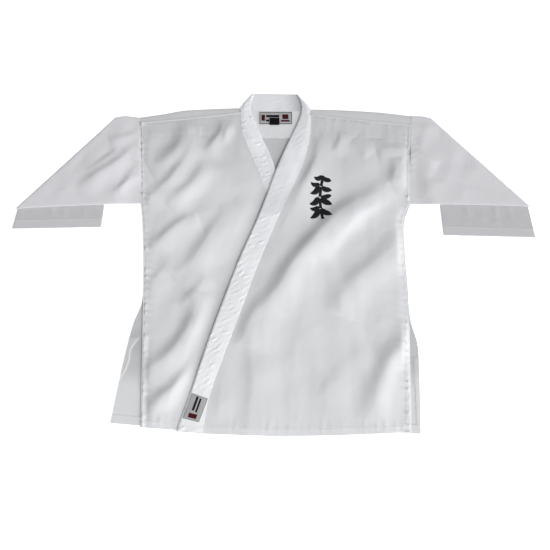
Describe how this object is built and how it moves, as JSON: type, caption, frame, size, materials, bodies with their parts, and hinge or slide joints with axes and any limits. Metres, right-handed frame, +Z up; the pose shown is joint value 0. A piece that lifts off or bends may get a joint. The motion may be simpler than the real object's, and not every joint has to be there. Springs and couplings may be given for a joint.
{
  "type": "karate gi jacket",
  "caption": "Karate gi jacket laid out flat, left front crossed over right, with a stitched lapel band, side vents and wide sleeves folded back.",
  "frame": {"origin": "on the flat underside of the back panel, on the centre line, about half way between hem and neck", "axes": "+X to the wearer's left across the sleeves, +Y up the garment to the neck, +Z up from the surface it lies on"},
  "size_m": [1.144, 0.7856, 0.0176],
  "materials": {
    "cotton_cloth": "plain bleached cotton canvas with a faint weave",
    "quilted_band": "bleached cotton, several layers sewn through in rows",
    "woven_label": "woven satin label, light grey with a dark border",
    "dark_tab": "black woven tape"
  },
  "bodies": {
    "root": {"back_panel": "cotton_cloth", "right_shoulder": "cotton_cloth", "left_shoulder": "cotton_cloth", "yoke_lining": "cotton_cloth", "right_front": "cotton_cloth", "left_front": "cotton_cloth", "right_lapel_band": "quilted_band", "left_lapel_band": "quilted_band", "back_neck_band": "quilted_band", "right_sleeve": "cotton_cloth", "left_sleeve": "cotton_cloth", "neck_label": "woven_label", "size_tab": "dark_tab", "hem_label": "woven_label"}
  },
  "joints": []
}
